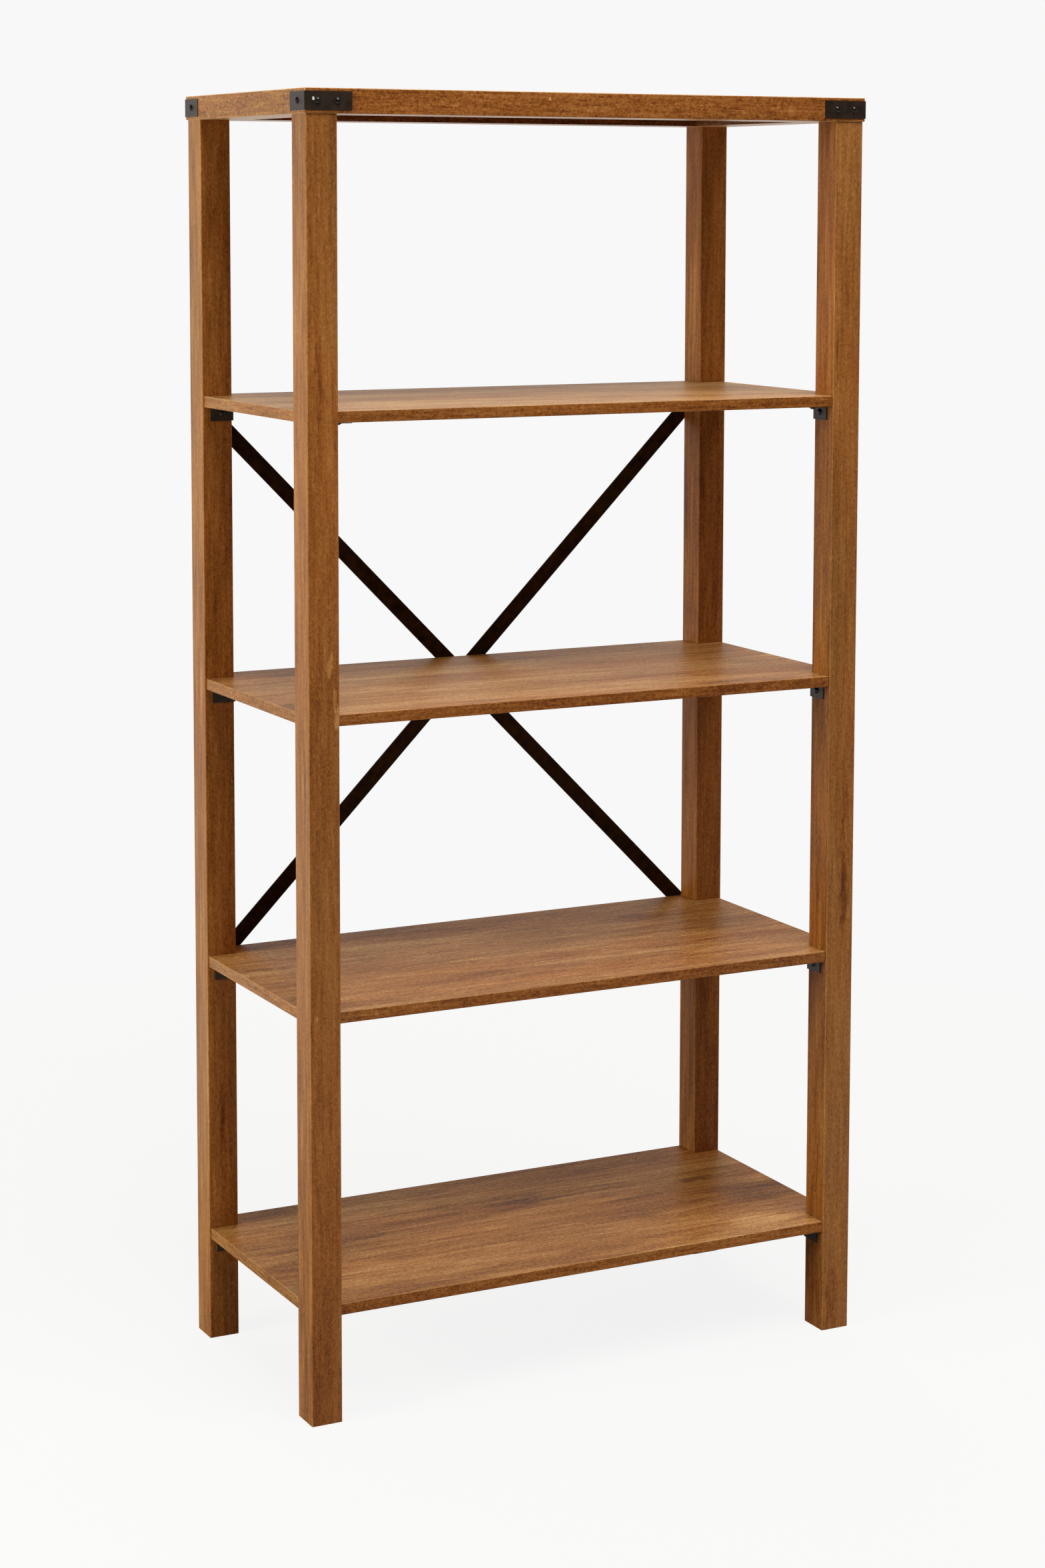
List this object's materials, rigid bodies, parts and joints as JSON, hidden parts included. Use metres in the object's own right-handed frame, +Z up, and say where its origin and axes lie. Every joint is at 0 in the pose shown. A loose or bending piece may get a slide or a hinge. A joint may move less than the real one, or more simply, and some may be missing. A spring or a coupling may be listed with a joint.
{
  "type": "bookcase",
  "caption": "Tall open bookcase with wood posts, a thick top and notched shelves on black steel corner brackets, stiffened by a crossed flat-bar brace at the back.",
  "frame": {"origin": "on the floor, under the middle of the unit", "axes": "+X to the right along the shelves, +Y from the front to the braced back, +Z up"},
  "size_m": [0.788, 0.395, 1.6261],
  "materials": {
    "wood_laminate": "satin wood-grain laminate, mid brown",
    "black_steel": "matt black powder coat",
    "screw_steel": "glossy black",
    "dowel_wood": "raw beech",
    "zinc": "zinc-plated"
  },
  "bodies": {
    "root": {"post_front_left": "wood_laminate", "post_front_right": "wood_laminate", "post_rear_left": "wood_laminate", "post_rear_right": "wood_laminate", "top_board": "wood_laminate", "top_strip_front": "wood_laminate", "top_strip_rear": "wood_laminate", "top_strip_left": "wood_laminate", "top_strip_right": "wood_laminate", "shelf_1": "wood_laminate", "shelf_2": "wood_laminate", "shelf_3": "wood_laminate", "shelf_4": "wood_laminate", "corner_bracket_front_left": "black_steel", "corner_bracket_front_right": "black_steel", "corner_bracket_rear_left": "black_steel", "corner_bracket_rear_right": "black_steel", "shelf_bracket_1_front_left": "black_steel", "shelf_bracket_1_front_right": "black_steel", "shelf_bracket_1_rear_left": "black_steel", "shelf_bracket_1_rear_right": "black_steel", "shelf_bracket_2_front_left": "black_steel", "shelf_bracket_2_front_right": "black_steel", "shelf_bracket_2_rear_left": "black_steel", "shelf_bracket_2_rear_right": "black_steel", "shelf_bracket_3_front_left": "black_steel", "shelf_bracket_3_front_right": "black_steel", "shelf_bracket_3_rear_left": "black_steel", "shelf_bracket_3_rear_right": "black_steel", "shelf_bracket_4_front_left": "black_steel", "shelf_bracket_4_front_right": "black_steel", "shelf_bracket_4_rear_left": "black_steel", "shelf_bracket_4_rear_right": "black_steel", "brace_bar_straight": "black_steel", "brace_bar_joggled": "black_steel", "brace_screws": "screw_steel", "corner_screws": "screw_steel", "leg_screws": "screw_steel", "flange_screws": "screw_steel", "brace_rivet": "screw_steel", "dowels": "dowel_wood", "cam_bolts": "zinc", "cam_locks": "zinc"}
  },
  "joints": []
}
